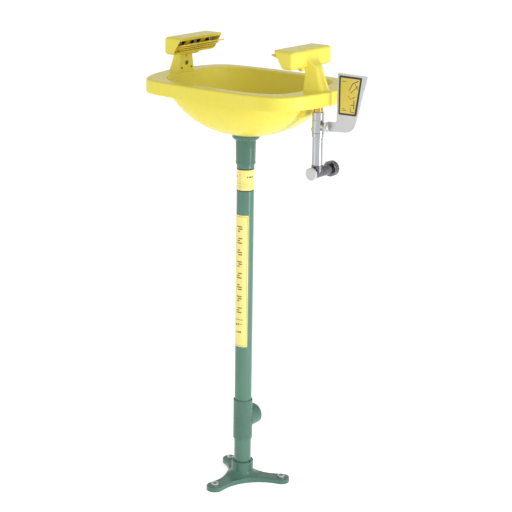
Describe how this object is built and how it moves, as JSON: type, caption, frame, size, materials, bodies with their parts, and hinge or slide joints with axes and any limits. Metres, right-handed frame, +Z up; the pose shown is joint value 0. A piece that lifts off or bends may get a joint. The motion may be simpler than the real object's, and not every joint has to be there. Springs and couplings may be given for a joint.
{
  "type": "eyewash station",
  "caption": "Floor-standing emergency eyewash: green pipe pedestal, yellow bowl, twin spray heads on posts and a push-flag ball valve.",
  "frame": {"origin": "centre of the floor bolt circle, on the floor, on the axis of the pedestal pipe", "axes": "+Z up along the pedestal; the user stands at -Y facing +Y; the valve is on the user's right, at +X"},
  "size_m": [0.5741, 0.3428, 1.108],
  "materials": {
    "black_rubber": "matte",
    "brass": "bare",
    "chrome": "polished plate",
    "copper": "drawn tube",
    "green_paint": "gloss paint on cast iron and pipe",
    "label_yellow": "printed vinyl",
    "stainless": "satin",
    "sticker": "printed vinyl",
    "white_ptfe": "smooth",
    "yellow_abs": "glossy moulded",
    "yellow_louvre": "moulded",
    "zinc_steel": "zinc plated"
  },
  "bodies": {
    "station": {"base_bushes": "zinc_steel", "base_flange": "green_paint", "bowl": "yellow_abs", "cover_screws_left": "stainless", "cover_screws_right": "stainless", "crossover_elbow": "brass", "crossover_tube": "copper", "drain_sleeve": "green_paint", "drain_tail": "stainless", "flange_gasket": "black_rubber", "flow_regulator": "black_rubber", "head_hood_left": "yellow_abs", "head_hood_right": "yellow_abs", "head_manifold_left": "brass", "head_manifold_right": "brass", "inlet_body": "chrome", "inlet_union": "chrome", "label_band": "label_yellow", "label_strip": "label_yellow", "louvre_plate_left": "yellow_louvre", "louvre_plate_right": "yellow_louvre", "lower_nipple": "green_paint", "nozzle_screens_left": "stainless", "nozzle_screens_right": "stainless", "nozzles_left": "chrome", "nozzles_right": "chrome", "packing_nut": "chrome", "regulator_tube": "chrome", "rim_locknut_left": "brass", "rim_locknut_right": "brass", "riser_tube_left": "copper", "riser_tube_right": "copper", "stand_pipe": "green_paint", "strainer_cap": "chrome", "strainer_plate": "stainless", "strainer_screen": "stainless", "strainer_screw": "stainless", "supply_nipple": "brass", "supply_tee": "brass", "tower_cover_left": "yellow_abs", "tower_cover_right": "yellow_abs", "tower_left": "yellow_abs", "tower_nipple_left": "brass", "tower_nipple_right": "brass", "tower_right": "yellow_abs", "valve_body": "chrome", "valve_end_cap": "chrome", "valve_seats": "white_ptfe", "waste_tee": "green_paint"},
    "valve_lever": {"flag_handle": "stainless", "handle_nut": "stainless", "handle_sticker": "sticker", "valve_stem": "stainless", "valve_ball": "stainless"}
  },
  "joints": [
    {"name": "valve_turn", "type": "hinge", "parent": "station", "child": "valve_lever", "pos_m": [0.208, 0, 0.933], "axis": [-1, 0, 0], "range_deg": [0, 90]}
  ]
}
